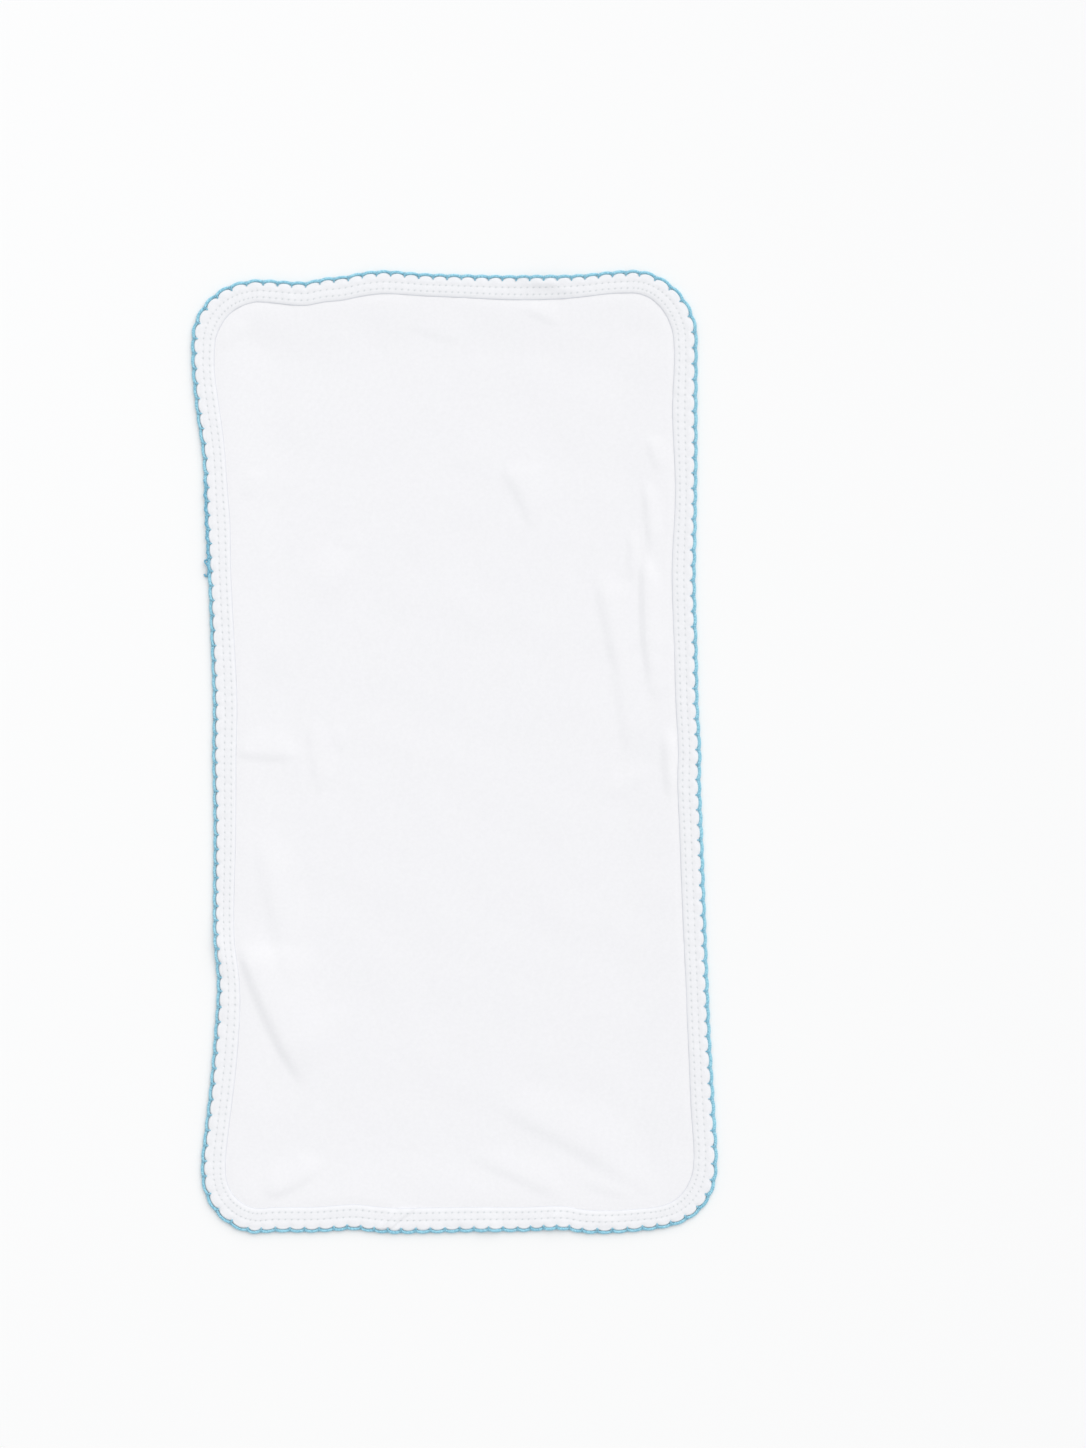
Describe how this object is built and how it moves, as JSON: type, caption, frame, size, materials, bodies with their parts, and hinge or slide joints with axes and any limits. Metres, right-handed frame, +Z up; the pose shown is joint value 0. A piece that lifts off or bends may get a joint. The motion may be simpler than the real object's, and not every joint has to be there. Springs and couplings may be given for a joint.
{
  "type": "burp cloth",
  "caption": "Flat jersey burp cloth with rounded corners, a folded and topstitched binding, and a scalloped thread edging in light blue.",
  "frame": {"origin": "on the table, under the middle of the laid cloth", "axes": "+Y along the cloth's length, towards the top of the picture; +Z up from the table, out of the cloth's face"},
  "size_m": [0.2632, 0.4817, 0.0038],
  "materials": {
    "jersey": "white cotton jersey, matt and soft",
    "binding": "the same white jersey, folded and stitched",
    "edging_thread": "light blue bulky thread, slightly fuzzy",
    "sewing_thread": "white sewing thread"
  },
  "bodies": {
    "root": {"panel": "jersey", "binding": "binding", "edging": "edging_thread"}
  },
  "joints": []
}
